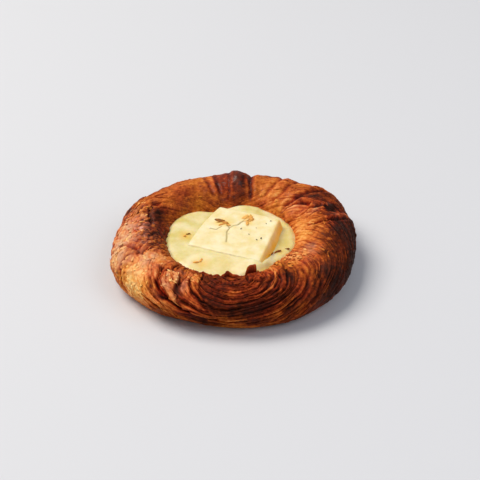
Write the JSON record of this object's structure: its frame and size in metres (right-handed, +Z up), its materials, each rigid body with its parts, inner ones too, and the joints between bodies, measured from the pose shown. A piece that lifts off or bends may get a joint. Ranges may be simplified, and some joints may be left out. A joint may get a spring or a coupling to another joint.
{
  "type": "danish pastry",
  "caption": "Round laminated danish: a browned ring of dough round a well of pale cream, with a square slab of soft cheese set in the cream.",
  "frame": {"origin": "middle of the model's box at the flat underside", "axes": "+Z up out of the filled well; -Y is the side that shows the cut ends of the dough's layers"},
  "size_m": [0.1118, 0.1098, 0.0227],
  "materials": {
    "crust": "browned flaky crust, egg-washed, slightly glossy",
    "cream": "baked cream, smooth, satin",
    "cheese": "soft cheese, smooth, satin"
  },
  "bodies": {
    "root": {"crust": "crust", "cream": "cream", "cheese_slab": "cheese"}
  },
  "joints": []
}
